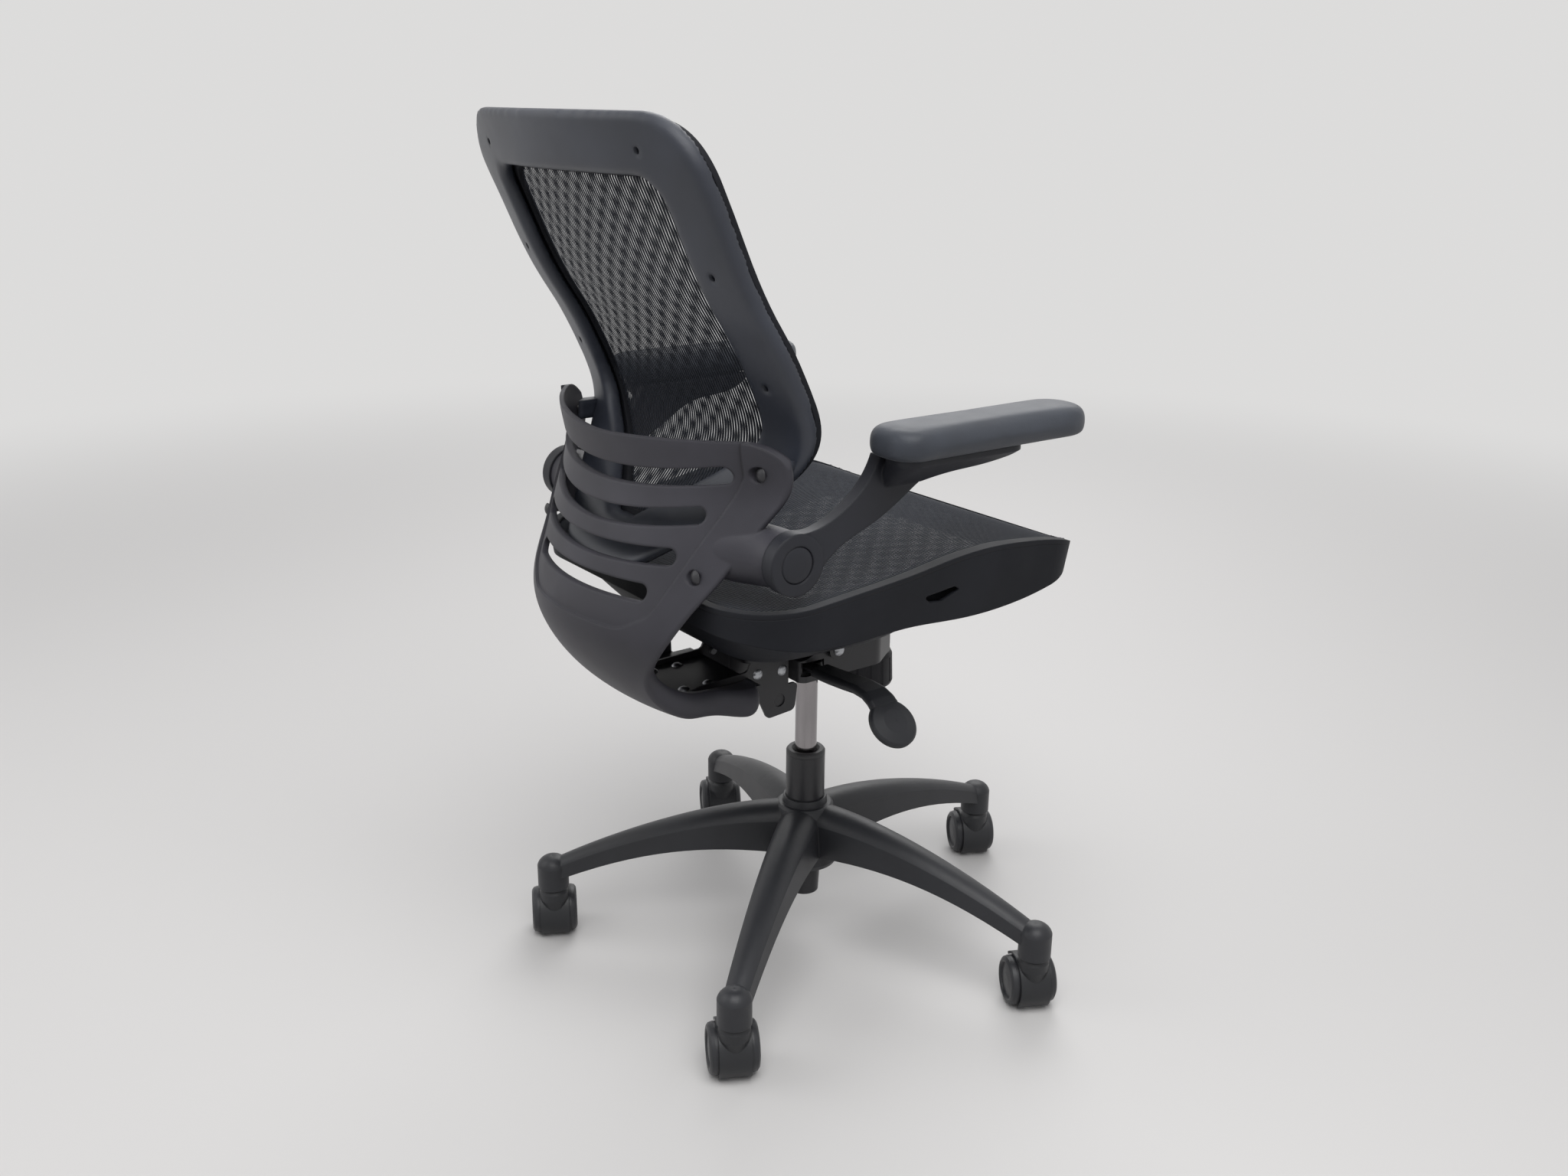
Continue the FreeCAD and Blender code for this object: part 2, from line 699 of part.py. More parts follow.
def seat_frame():
    ring = seat_slab(carrier_high, 0).common(seat_block(0)).cut(seat_hole(rim_width))
    channel = seat_slab(carrier_high + rim_wall, 30).common(seat_block(rim_wall)).cut(seat_hole(rim_width - rim_wall))
    ring = ring.cut(channel)
    slot = rounded([(30, 541, 2), (-14, 546, 2), (-24, 541, 2), (2, 531, 3), (20, 533, 2)], side(-300))
    ring = ring.cut(prism(slot, V(600, 0, 0)))
    frame = join([ring, seat_pan()])
    holes = [rod(4 + seat_gap, V(x, y, 430), V(x, y, 470)) for x, y in seat_bolt_places()]
    return frame.cut(group(holes))


def seat_bolts():
    return group([dome_bolt(V(x, y, plate_low), V(0, 0, -1), 4, 14, 7) for x, y in seat_bolt_places()])


def seat_carrier():
    ring = seat_slab(0, 20).common(seat_block(0)).cut(seat_slab(carrier_high - seat_gap, 200))
    return ring.cut(seat_hole(18))


# Share of the net's sag along the seat, from the front rim to the rear rim
sag_line = [(-226, 0.02), (-205, 0.18), (-171, 0.6), (-119, 1), (114, 1), (178, 0.65), (240, 0.12), (300, 0.02)]


def seat_mesh():
    wires = []
    half = seat_half - 6
    for y, z in seat_top_line[1:]:
        a = V(-half, y, z - 1)
        m = V(0, y, z - 1 - seat_sag * between(sag_line, y))
        b = V(half, y, z - 1)
        down = V(0, 0, -mesh_thick)
        wires.append(Part.Wire([arc(a, m, b), line(b, b + down), arc(b + down, m + down, a + down), line(a + down, a)]))
    sheet = loft(wires).common(seat_hole(17.5))
    return sheet.cut(seat_carrier())


# Back
back_line = [(560, 264), (585, 246), (612, 222), (645, 193), (676, 169), (711, 157), (757, 168), (791, 184), (822, 201),
             (851, 220), (902, 248), (955, 272), (999, 291), (1042, 304)]


def back_slab(near, far, half):
    wires = []
    for z, y in back_line:
        a = V(-half, y + near, z)
        m = V(0, y + near + back_sag * (half / back_half) ** 2, z)
        b = V(half, y + near, z)
        deep = V(0, far - near, 0)
        wires.append(Part.Wire([arc(a, m, b), line(b, b + deep), arc(b + deep, m + deep, a + deep), line(a + deep, a)]))
    return loft(wires)


def back_outline(inset):
    w = back_half - inset
    t = back_top - inset
    return [(-w, t, 62 - inset), (w, t, 62 - inset), (w, 692, 140), (64 - inset, 574 + inset, 50),
            (-64 + inset, 574 + inset, 50), (-w, 692, 140)]


def back_opening(inset):
    w = opening_half + inset
    return [(-w, opening_top + inset, 30), (w, opening_top + inset, 30), (w, 718, 70), (18, 614 - inset, 12),
            (-18, 614 - inset, 12), (-w, 718, 70)]


def through(points):
    return prism(rounded(points, front(60)), V(0, 400, 0))


def back_ring(near, far, inset, open_inset):
    ring = back_slab(near, far, back_reach).common(through(back_outline(inset)))
    return ring.cut(through(back_opening(open_inset)))


def back_surface(x, z):
    return between(back_line, z) + back_sag * (back_reach ** 2 - x ** 2) / back_half ** 2


def back_screw_places():
    return [(-152, 1006), (152, 1006), (-188, 891), (188, 891), (-187, 779), (187, 779)]


def back_frame():
    ring = back_ring(back_split, back_behind, 0, 0)
    rear = []
    for x, z in back_screw_places():
        y = back_surface(x, z) + back_behind
        rear.append(rod(4.2, V(x, y - 9, z), V(x, y + 20, z)))
        rear.append(rod(2 + seat_gap, V(x, y - 40, z), V(x, y, z)))
    return ring.cut(group(rear))


def back_screws():
    shapes = []
    for x, z in back_screw_places():
        y = back_surface(x, z) + back_behind
        shapes.append(join([rod(3.8, V(x, y - 8.9, z), V(x, y - 6.4, z)), rod(2, V(x, y - 20, z), V(x, y - 8, z))]))
    return group(shapes)


def back_carrier():
    ring = back_ring(back_front, back_split - seat_gap, 4, -4)
    holes = []
    for x, z in back_screw_places():
        y = back_surface(x, z) + back_behind
        holes.append(rod(2 + seat_gap, V(x, y - 20.5, z), V(x, y, z)))
    return ring.cut(group(holes))


def back_mesh():
    sheet = back_slab(back_front + 3, back_front + 3 + mesh_thick, back_half)
    sheet = sheet.common(through(back_opening(-3.5)))
    return sheet.cut(back_carrier())


# Shell that carries the back and the arms, then curls forward under the seat
# Each row: height and rearward place of the edge, lean of the outward side, half width, bulge, thickness
shell_rows = [(195, 740, 0, 213, 98, shell_wall), (199, 690, 0, 213, 96, shell_wall), (213, 652, 0, 203, 86, shell_wall),
              (238, 617, 2, 189, 73, shell_wall), (261, 581, 5, 175, 62, shell_wall), (284, 549, 10, 160, 52, shell_wall),
              (302, 513, 20, 142, 40, 13), (306, 484, 35, 122, 27, 16), (298, 450, 52, 100, 14, 20),
              (274, 418, 68, 95, 8, 26), (238, 397, 82, 94, 7, 30), (195, 390, 90, 93, 6, 31),
              (150, 392, 92, 92, 5, 31)]


def shell_wire(row, near, far, trim):
    y, z, lean, half, bulge, thick = row
    n = V(0, math.cos(math.radians(lean)), -math.sin(math.radians(lean)))
    half = half - trim
    edge = V(0, y, z)
    first = edge - n * near
    last = edge - n * (far if far is not None else thick)
    mid = (first + last) * 0.5
    puff = 0.30 * (last - first).Length if trim == 0 else 0.001
    x = V(half, 0, 0)
    far_x = V(half + puff, 0, 0)
    top = n * bulge
    return Part.Wire([arc(first - x, first + top, first + x), arc(first + x, mid + far_x, last + x),
                      arc(last + x, last + top, last - x), arc(last - x, mid - far_x, first - x)])


def shell_loft(near, far, rows):
    return loft([shell_wire(row, near, far, 0) for row in rows])


# Each slot: height of its middle, rise of its ends, half length
slot_rows = [(674, 16, 173), (631, 15, 152), (595, 6, 134), (560, 1, 113)]
slot_half = 9.5


def shell_slots():
    slots = []
    for z, rise, half in slot_rows:
        flat = half - slot_half
        end = z + rise
        low = arc(V(-flat, 120, end - slot_half), V(0, 120, z - slot_half), V(flat, 120, end - slot_half))
        high = arc(V(-flat, 120, end + slot_half), V(0, 120, z + slot_half), V(flat, 120, end + slot_half))
        left = arc(V(flat, 120, end - slot_half), V(half, 120, end), V(flat, 120, end + slot_half))
        right = arc(V(-flat, 120, end - slot_half), V(-half, 120, end), V(-flat, 120, end + slot_half))
        slots.append(prism(Part.Wire([low, left, high, right]), V(0, 300, 0)))
    return slots


def shell_trough():
    # Hollow of the lower channel, open to the inside.
    wires = []
    for row in shell_rows[8:]:
        y, z, lean, half, bulge, thick = row
        n = V(0, math.cos(math.radians(lean)), -math.sin(math.radians(lean)))
        a = V(0, y, z) - n * 12.5
        b = V(0, y, z) - n * (thick + 20)
        x = V(half - 12, 0, 0)
        wires.append(Part.Wire([line(a - x, a + x), line(a + x, b + x), line(b + x, b - x), line(b - x, a - x)]))
    end = wires[-1].copy()
    end.translate(V(0, -20, 0))
    return loft(wires + [end])


def arm_stub(s):
    wires = []
    for x, y, z, r in ((stub_end, pivot_y, pivot_z, 31), (200, pivot_y + 4, pivot_z, 32), (176, 219, 609, 33),
                       (146, 230, 607, 28)):
        wires.append(Part.Wire(Part.makeCircle(r, V(s * x, y, z), V(1, 0, 0))))
    return loft(wires)


def shell_bolt_places():
    return [(196, 694), (159, 586)]


def shell_edge_at(z):
    rows = sorted((row[1], row) for row in shell_rows)
    for (low, a), (high, b) in zip(rows, rows[1:]):
        if low <= z <= high:
            t = (z - low) / (high - low)
            return [a[k] + (b[k] - a[k]) * t for k in range(6)]
    return list(shell_rows[0])


def shell_outside(x, z):
    y, at, lean, half, bulge, thick = shell_edge_at(z)
    radius = (half ** 2 + bulge ** 2) / (2 * bulge)
    return y + bulge - radius + math.sqrt(radius ** 2 - x ** 2)


def back_shell():
    body = shell_loft(0, None, shell_rows)
    outline = [(-300, 380, 0), (300, 380, 0), (300, 600, 0), (218, 690, 30), (216, 729, 34), (150, 725, 60),
               (0, 716, 400), (-150, 725, 60), (-216, 729, 34), (-218, 690, 30), (-300, 600, 0)]
    body = body.common(prism(rounded(outline, front(100)), V(0, 400, 0)))
    recess = shell_loft(-6, 3.5, shell_rows[:8])
    field = [(-188, 780, 0), (-183, 690, 10), (-124, 540, 30), (-90, 520, 40), (90, 520, 40), (124, 540, 30),
             (183, 690, 10), (188, 780, 0)]
    recess = recess.common(prism(rounded(field, front(100)), V(0, 400, 0)))
    body = body.cut(recess)
    body = body.cut(group(shell_slots()))
    body = body.cut(shell_trough())
    pocket = Part.makeBox(2 * tongue_half + 2, 92, 60, V(-tongue_half - 1, 136, tongue_low - seat_gap))
    body = body.cut(pocket)
    body = join([body, arm_stub(-1), arm_stub(1)])
    holes = shell_bolt_holes()
    for s in (-1, 1):
        holes.append(rod(8 + run_gap, V(s * 184, pivot_y, pivot_z), V(s * 240, pivot_y, pivot_z)))
    for x, y in bracket_bolt_places():
        holes.append(rod(4 + seat_gap, V(x, y, 380), V(x, y, 420)))
    return body.cut(group(holes))


def shell_bolt_holes():
    # Clear hole and flat seat for each bolt of the shell.
    holes = []
    for s in (-1, 1):
        for x, z in shell_bolt_places():
            y = shell_outside(x, z)
            holes.append(rod(4 + seat_gap, V(s * x, y - 40, z), V(s * x, y + 20, z)))
            holes.append(rod(8.5, V(s * x, y - bolt_sink - seat_gap, z), V(s * x, y + 40, z)))
    return holes


def shell_bolts():
    shapes = []
    for s in (-1, 1):
        for x, z in shell_bolt_places():
            y = shell_outside(x, z)
            shapes.append(dome_bolt(V(s * x, y - bolt_sink, z), V(0, 1, 0), 4, 16, 8))
    return group(shapes)


def link_end(s, surface, offset):
    # Rectangle round the upper bolt, leaning like the surface that it meets.
    x, z = shell_bolt_places()[0]
    across = (surface(x + link_half, z) - surface(x - link_half, z)) / (2 * link_half)
    rise = (surface(x, z + link_high) - surface(x, z - link_high)) / (2 * link_high)
    corners = []
    for u, v in ((-link_half, -link_high), (link_half, -link_high), (link_half, link_high), (-link_half, link_high)):
        corners.append(V(s * (x + u), surface(x, z) + offset + across * u + rise * v, z + v))
    return Part.makePolygon(corners + corners[:1])


def back_links():
    # Short blocks between the shell's upper corners and the back frame's side bars.
    shapes = []
    for s in (-1, 1):
        ends = [link_end(s, back_surface, back_behind - link_front), link_end(s, shell_outside, -shell_wall - link_rear)]
        shapes.append(Part.makeLoft(ends, True, True).cut(group(shell_bolt_holes())))
    return group(shapes)


# Arms
def arm_support(s):
    hub = rod(hub_disc, V(arm_inner, pivot_y, pivot_z), V(arm_outer, pivot_y, pivot_z))
    upper = [(pivot_y - 4, pivot_z + 32), (182.5, 639.5), (144.5, 653.5), (117, 674), (96, pad_low - 1)]
    lower = [(-68, pad_low - 1), (-49, 692), (-23, 685), (8, 682), (31, 676), (57, 661), (102, 636), (147, 616),
             (164, 603), (pivot_y - 18, pivot_z - 27)]
    upper = [V(arm_inner, y, z) for y, z in upper]
    lower = [V(arm_inner, y, z) for y, z in lower]
    outline = Part.Wire([curve(upper), line(upper[-1], lower[0]), curve(lower), line(lower[-1], upper[0])])
    bar = prism(outline, V(arm_outer - arm_inner - 2, 0, 0))
    wide = pad_half - 14
    carrier = rounded([(pad_mid - wide, -72, 20), (pad_mid + wide, -72, 20), (pad_mid + wide, 98, 20),
                       (pad_mid - wide, 98, 20)], plan(pad_low - 7))
    root = rounded([(arm_inner + 2, -60, 5), (arm_outer, -60, 5), (arm_outer, 88, 5), (arm_inner + 2, 88, 5)],
                   plan(pad_low - 36))
    flare = Part.makeLoft([root, carrier], True, True).common(prism(outline, V(120, 0, 0)))
    plate = prism(carrier, V(0, 0, 7))
    support = join([hub, bar, flare, plate])
    pin = rod(8 + run_gap, V(arm_inner - 5, pivot_y, pivot_z), V(arm_outer - 6, pivot_y, pivot_z))
    seat = rod(20, V(arm_outer - 3, pivot_y, pivot_z), V(arm_outer + 5, pivot_y, pivot_z))
    support = support.cut(group([pin, seat]))
    return support if s > 0 else mirrored(support)


def arm_cap(s):
    cap = turned([(0, -3), (19.9, -3), (19.9, -1.5), (18, -0.4), (12, 0.4), (0, 0.8)])
    cap = spun(cap, 90, V(0, 0, 0), V(0, 1, 0))
    cap = moved(cap, V(arm_outer, pivot_y, pivot_z))
    return cap if s > 0 else mirrored(cap)


def arm_pad(s):
    # Soft pad: rounded ends, full top edge, smaller lower edge.
    low = pad_low + seat_gap
    outline = rounded([(pad_mid - pad_half, pad_front, 35), (pad_mid + pad_half, pad_front, 35),
                       (pad_mid + pad_half, pad_rear, 30), (pad_mid - pad_half, pad_rear, 30)], plan(low))
    pad = prism(outline, V(0, 0, pad_high - low))
    pad = pad.makeFillet(14, [edge for edge in pad.Edges if edge.BoundBox.ZMin > pad_high - 1])
    pad = pad.makeFillet(9, [edge for edge in pad.Edges if edge.BoundBox.ZMax < low + 1])
    return pad if s > 0 else mirrored(pad)


def arm_pins():
    shapes = []
    for s in (-1, 1):
        shapes.append(rod(8, V(s * 185, pivot_y, pivot_z), V(s * (arm_outer - 6.5), pivot_y, pivot_z)))
    return group(shapes)


def main():
    save(base_star(), "base_star")
    save(stem_sleeves(), "stem_sleeves")
    save(column_tube(), "column_tube")
    save(column_bushing(), "column_bushing")
    save(thrust_bearing(), "thrust_bearing")
    save(gas_rod(), "gas_rod")
    save(retaining_clip(), "retaining_clip")
    save_casters()
    save(gas_cylinder(), "gas_cylinder")
    save(valve_button(), "valve_button")
    save(taper_socket(), "taper_socket")
    save(mech_housing(), "mech_housing")
    save(pivot_bushes(), "pivot_bushes")
    save(pivot_bolts(), "pivot_bolts")
    save(tilt_spring(), "tilt_spring")
    save(tension_bolt(), "tension_bolt")
    save(tension_knob(), "tension_knob")
    save(lever_arm(), "lever_arm")
    save(lever_paddle(), "lever_paddle")
    save(lock_slider(), "lock_slider")
    save(seat_plate(), "seat_plate")
    save(back_bracket(), "back_bracket")
    save(bracket_bolts(), "bracket_bolts")
    save(seat_frame(), "seat_frame")
    save(seat_bolts(), "seat_bolts")
    save(seat_carrier(), "seat_carrier")
    save(seat_mesh(), "seat_mesh")
    save(back_frame(), "back_frame")
    save(back_screws(), "back_screws")
    save(back_carrier(), "back_carrier")
    save(back_mesh(), "back_mesh")
    save(back_shell(), "back_shell")
    save(shell_bolts(), "shell_bolts")
    save(back_links(), "back_links")
    save(arm_pins(), "arm_pins")
    for s, name in ((-1, "right"), (1, "left")):
        save(arm_support(s), "arm_support_" + name)
        save(arm_cap(s), "arm_cap_" + name)
        save(arm_pad(s), "arm_pad_" + name)


main()
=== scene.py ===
import json
import math
import bpy
from mathutils import Matrix, Vector
from mathutils.bvhtree import BVHTree


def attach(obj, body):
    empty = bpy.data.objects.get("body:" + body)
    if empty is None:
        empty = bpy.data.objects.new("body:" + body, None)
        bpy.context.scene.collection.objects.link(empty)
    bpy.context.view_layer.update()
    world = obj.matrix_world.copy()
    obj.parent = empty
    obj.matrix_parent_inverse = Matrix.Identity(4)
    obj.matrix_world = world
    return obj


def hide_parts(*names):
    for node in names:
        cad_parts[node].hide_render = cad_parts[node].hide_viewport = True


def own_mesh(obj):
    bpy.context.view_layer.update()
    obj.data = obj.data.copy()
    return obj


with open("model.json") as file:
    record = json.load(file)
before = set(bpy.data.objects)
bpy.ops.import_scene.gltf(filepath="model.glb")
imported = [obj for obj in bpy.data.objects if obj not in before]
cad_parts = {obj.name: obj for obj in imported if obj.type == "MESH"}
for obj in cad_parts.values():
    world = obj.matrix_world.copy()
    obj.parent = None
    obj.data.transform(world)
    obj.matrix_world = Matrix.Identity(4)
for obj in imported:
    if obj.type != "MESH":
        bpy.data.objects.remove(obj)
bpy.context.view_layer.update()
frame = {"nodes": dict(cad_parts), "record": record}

nodes = frame["nodes"]
scene = bpy.context.scene
scene.view_settings.view_transform = "Standard"
print("frame loaded:", len(nodes), "nodes")


def deselect():
    if bpy.context.object and bpy.context.object.mode != "OBJECT":
        bpy.ops.object.mode_set(mode="OBJECT")
    bpy.ops.object.select_all(action="DESELECT")


def only(obj):
    deselect()
    obj.select_set(True)
    bpy.context.view_layer.objects.active = obj


# Camera: where the photo was taken from, with its focal length in pixels of the photo
cameraSet = {
    "place": (-1.3529, 1.0509, 1.0508),
    "look": (0.7593, -0.5686, -0.3165),
    "roll": 0.67,  # degrees
    "focalPixels": 1907.36,
    "imageWidth": 2048,
    "sensor": 36.0,
    "nearClip": 0.05,
}


def addCamera(spec):
    data = bpy.data.cameras.new("viewCamera")
    data.sensor_width = spec["sensor"]
    data.lens = spec["focalPixels"] / spec["imageWidth"] * spec["sensor"]
    data.clip_start = spec["nearClip"]
    camera = bpy.data.objects.new("viewCamera", data)
    scene.collection.objects.link(camera)
    look = Vector(spec["look"]).normalized()
    right = look.cross(Vector((0, 0, 1))).normalized()
    up = right.cross(look)
    turn = math.radians(spec["roll"])
    side = right * math.cos(turn) + up * math.sin(turn)
    top = up * math.cos(turn) - right * math.sin(turn)
    camera.matrix_world = Matrix((
        (side.x, top.x, -look.x, spec["place"][0]),
        (side.y, top.y, -look.y, spec["place"][1]),
        (side.z, top.z, -look.z, spec["place"][2]),
        (0, 0, 0, 1)))
    scene.camera = camera


# Studio: a pale floor that fades into a pale wall, and soft lamps
studioSet = {
    "floorSize": 30.0,
    "floorDrop": 0.0005,
    "floorColor": (0.69, 0.68, 0.67),
    "floorRough": 0.6,
    "bounceColor": (0.40, 0.39, 0.38),
    "wallColor": (0.72, 0.715, 0.71),
    "worldColor": (0.43, 0.43, 0.44),
    "fade": (1.7, 4.2),  # distance from the chair
    "lamps": (  # name, place, aim, width, watts
        ("keyLamp", (-1.2, 0.6, 2.7), (0.0, 0.1, 0.5), 2.2, 46.0),
        ("backLamp", (1.8, -1.9, 2.4), (0.0, 0.0, 0.5), 2.4, 34.0),
        ("sideLamp", (1.4, 2.2, 2.0), (0.0, 0.2, 0.6), 2.0, 14.0),
    ),
}


def objectPlace(tree):
    return tree.nodes.new("ShaderNodeTexCoord").outputs["Object"]


def mathNode(tree, operation, a, b):
    node = tree.nodes.new("ShaderNodeMath")
    node.operation = operation
    tree.links.new(a, node.inputs[0])
    tree.links.new(b, node.inputs[1])
    return node.outputs[0]


def mixShader(tree, fac, a, b):
    node = tree.nodes.new("ShaderNodeMixShader")
    tree.links.new(fac, node.inputs[0])
    tree.links.new(a, node.inputs[1])
    tree.links.new(b, node.inputs[2])
    return node.outputs[0]


def seenRay(tree):
    rays = tree.nodes.new("ShaderNodeLightPath").outputs
    first = mathNode(tree, "MAXIMUM", rays["Is Camera Ray"], rays["Is Glossy Ray"])
    return mathNode(tree, "MAXIMUM", first, rays["Is Transmission Ray"])


def floorPaint(spec):
    paint = bpy.data.materials.new("paleFloorPaint")
    paint.use_nodes = True
    tree = paint.node_tree
    near = tree.nodes["Principled BSDF"]
    near.inputs["Base Color"].default_value = (*spec["floorColor"], 1)
    near.inputs["Roughness"].default_value = spec["floorRough"]
    bounce = tree.nodes.new("ShaderNodeBsdfDiffuse")
    bounce.inputs["Color"].default_value = (*spec["bounceColor"], 1)
    wall = tree.nodes.new("ShaderNodeEmission")
    wall.inputs["Color"].default_value = (*spec["wallColor"], 1)
    reach = tree.nodes.new("ShaderNodeVectorMath")
    reach.operation = "LENGTH"
    tree.links.new(objectPlace(tree), reach.inputs[0])
    far = tree.nodes.new("ShaderNodeMapRange")
    far.interpolation_type = "SMOOTHSTEP"
    far.inputs["From Min"].default_value, far.inputs["From Max"].default_value = spec["fade"]
    tree.links.new(reach.outputs["Value"], far.inputs["Value"])
    seen = seenRay(tree)
    seenFar = mathNode(tree, "MULTIPLY", seen, far.outputs["Result"])
    paved = mixShader(tree, seen, bounce.outputs[0], near.outputs[0])
    swept = mixShader(tree, seenFar, paved, wall.outputs[0])
    tree.links.new(swept, tree.nodes["Material Output"].inputs["Surface"])
    return paint


def paleWorld(spec):
    world = bpy.data.worlds.new("paleWorld")
    scene.world = world
    world.use_nodes = True
    tree = world.node_tree
    light = tree.nodes["Background"]
    light.inputs["Color"].default_value = (*spec["worldColor"], 1)
    wall = tree.nodes.new("ShaderNodeBackground")
    wall.inputs["Color"].default_value = (*spec["wallColor"], 1)
    sky = mixShader(tree, seenRay(tree), light.outputs[0], wall.outputs[0])
    tree.links.new(sky, tree.nodes["World Output"].inputs["Surface"])


def addStudio(spec):
    deselect()
    bpy.ops.mesh.primitive_plane_add(size=spec["floorSize"], location=(0, 0, -spec["floorDrop"]))
    floor = bpy.context.object
    floor.name = "paleFloor"
    floor.data.materials.append(floorPaint(spec))
    for name, place, aim, width, watts in spec["lamps"]:
        data = bpy.data.lights.new(name, "AREA")
        data.shape = "DISK"
        data.size = width
        data.energy = watts
        lamp = bpy.data.objects.new(name, data)
        lamp.location = place
        lamp.rotation_euler = (Vector(aim) - Vector(place)).to_track_quat("-Z", "Y").to_euler()
        scene.collection.objects.link(lamp)
    paleWorld(spec)


addCamera(cameraSet)
addStudio(studioSet)
print("camera and studio set")


# Finishes: a pattern's scale is in repeats per metre, depths and edges are in metres
rampStops = (0.35, 0.65)
edgeSamples = 4


def newFinish(name):
    finish = bpy.data.materials.new(name)
    finish.use_nodes = True
    tree = finish.node_tree
    return finish, tree, tree.nodes["Principled BSDF"]


def shades(color, factors):
    return [tuple(c * factor for c in color) for factor in factors]


def noise(tree, place, scale, detail):
    node = tree.nodes.new("ShaderNodeTexNoise")
    node.inputs["Scale"].default_value = scale
    node.inputs["Detail"].default_value = detail
    tree.links.new(place, node.inputs["Vector"])
    return node.outputs["Fac"]


def ramp(tree, fac, colors):
    node = tree.nodes.new("ShaderNodeValToRGB")
    for stop, position, color in zip(node.color_ramp.elements, rampStops, colors):
        stop.position = position
        stop.color = (*color, 1)
    tree.links.new(fac, node.inputs["Fac"])
    return node.outputs["Color"]


def span(tree, fac, low, high):
    node = tree.nodes.new("ShaderNodeMapRange")
    node.inputs["To Min"].default_value = low
    node.inputs["To Max"].default_value = high
    tree.links.new(fac, node.inputs["Value"])
    return node.outputs["Result"]


def bump(tree, height, depth):
    node = tree.nodes.new("ShaderNodeBump")
    node.inputs["Distance"].default_value = depth
    tree.links.new(height, node.inputs["Height"])
    return node


def softEdge(tree, radius):
    node = tree.nodes.new("ShaderNodeBevel")
    node.samples = edgeSamples
    node.inputs["Radius"].default_value = radius
    return node.outputs["Normal"]


plasticSet = {"cloud": (0.84, 1.16), "cloudScale": 9.0, "wear": (-0.05, 0.06), "wearScale": 30.0,
              "grain": 1500.0, "pitDepth": 0.00012, "edge": 0.0015, "gloss": 0.42}


def mouldedPlastic(name, color, rough, **own):
    spec = {**plasticSet, **own}
    finish, tree, shader = newFinish(name)
    place = objectPlace(tree)
    clouds = noise(tree, place, spec["cloudScale"], detail=4.0)
    tree.links.new(ramp(tree, clouds, shades(color, spec["cloud"])), shader.inputs["Base Color"])
    scuffs = noise(tree, place, spec["wearScale"], detail=3.0)
    low, high = [rough + change for change in spec["wear"]]
    tree.links.new(span(tree, scuffs, low, high), shader.inputs["Roughness"])
    pits = bump(tree, noise(tree, place, spec["grain"], detail=1.0), spec["pitDepth"])
    tree.links.new(softEdge(tree, spec["edge"]), pits.inputs["Normal"])
    tree.links.new(pits.outputs["Normal"], shader.inputs["Normal"])
    shader.inputs["Specular IOR Level"].default_value = spec["gloss"]
    return finish


coatSet = {"cloud": (0.85, 1.2), "cloudScale": 14.0, "peelScale": 420.0, "peelDepth": 0.00008, "edge": 0.0008}


def paintedSteel(name, color, rough):
    finish, tree, shader = newFinish(name)
    place = objectPlace(tree)
    clouds = noise(tree, place, coatSet["cloudScale"], detail=4.0)
    tree.links.new(ramp(tree, clouds, shades(color, coatSet["cloud"])), shader.inputs["Base Color"])
    peel = bump(tree, noise(tree, place, coatSet["peelScale"], detail=2.0), coatSet["peelDepth"])
    tree.links.new(softEdge(tree, coatSet["edge"]), peel.inputs["Normal"])
    tree.links.new(peel.outputs["Normal"], shader.inputs["Normal"])
    shader.inputs["Roughness"].default_value = rough
    return finish


metalSet = {"cloud": (0.86, 1.0), "lineScale": 60.0, "wear": (0.8, 1.3)}


def bareMetal(name, color, rough, streak):
    finish, tree, shader = newFinish(name)
    stretch = tree.nodes.new("ShaderNodeMapping")
    stretch.inputs["Scale"].default_value = streak
    tree.links.new(objectPlace(tree), stretch.inputs["Vector"])
    lines = noise(tree, stretch.outputs["Vector"], metalSet["lineScale"], detail=3.0)
    tree.links.new(ramp(tree, lines, shades(color, metalSet["cloud"])), shader.inputs["Base Color"])
    low, high = [rough * factor for factor in metalSet["wear"]]
    tree.links.new(span(tree, lines, low, high), shader.inputs["Roughness"])
    shader.inputs["Metallic"].default_value = 1.0
    return finish


yarnSet = {"cloud": (0.7, 1.5), "cloudScale": 700.0, "twistScale": 2600.0, "twistDepth": 0.0002,
           "rough": 0.62, "gloss": 0.22, "fuzz": 0.05}


def wovenYarn(name, color):
    finish, tree, shader = newFinish(name)
    place = objectPlace(tree)
    clouds = noise(tree, place, yarnSet["cloudScale"], detail=2.0)
    tree.links.new(ramp(tree, clouds, shades(color, yarnSet["cloud"])), shader.inputs["Base Color"])
    twist = bump(tree, noise(tree, place, yarnSet["twistScale"], detail=1.0), yarnSet["twistDepth"])
    tree.links.new(twist.outputs["Normal"], shader.inputs["Normal"])
    shader.inputs["Roughness"].default_value = yarnSet["rough"]
    shader.inputs["Specular IOR Level"].default_value = yarnSet["gloss"]
    shader.inputs["Sheen Weight"].default_value = yarnSet["fuzz"]
    return finish


skinSet = {"cloud": (0.88, 1.12), "cloudScale": 18.0, "rough": (0.50, 0.60), "wearScale": 40.0,
           "cellScale": 900.0, "cellDepth": 0.00010, "fuzz": 0.08}


